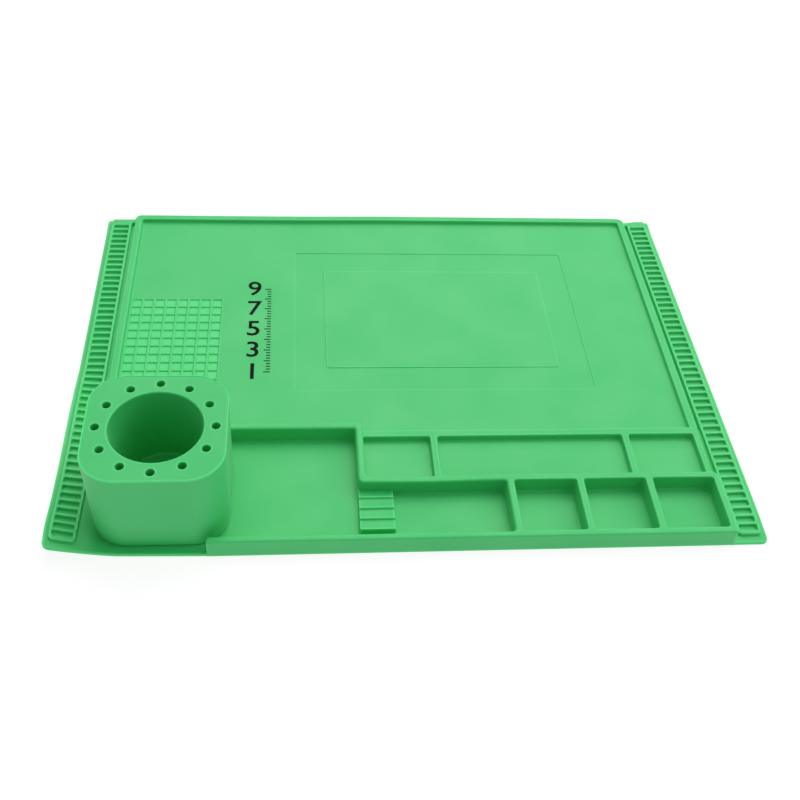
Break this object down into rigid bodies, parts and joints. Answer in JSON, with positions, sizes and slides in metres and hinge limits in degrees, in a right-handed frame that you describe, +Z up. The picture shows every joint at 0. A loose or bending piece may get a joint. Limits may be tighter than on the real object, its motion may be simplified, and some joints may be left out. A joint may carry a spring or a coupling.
{
  "type": "silicone work mat",
  "caption": "Moulded silicone repair mat with a framed work area, parts trays, a stepped tool rest, a pitted grid, slotted edge strips and an upright round-bored tool cup at the front left.",
  "frame": {"origin": "centre of the base sheet's footprint, on the underside that lies on the bench", "axes": "+X to the right along the long side, +Y to the back, away from the trays, +Z up"},
  "size_m": [0.4, 0.298, 0.058],
  "materials": {
    "mat_silicone": "moulded satin green silicone",
    "cup_silicone": "moulded satin green silicone"
  },
  "bodies": {
    "root": {"work_mat": "mat_silicone", "tool_cup": "cup_silicone"}
  },
  "joints": []
}
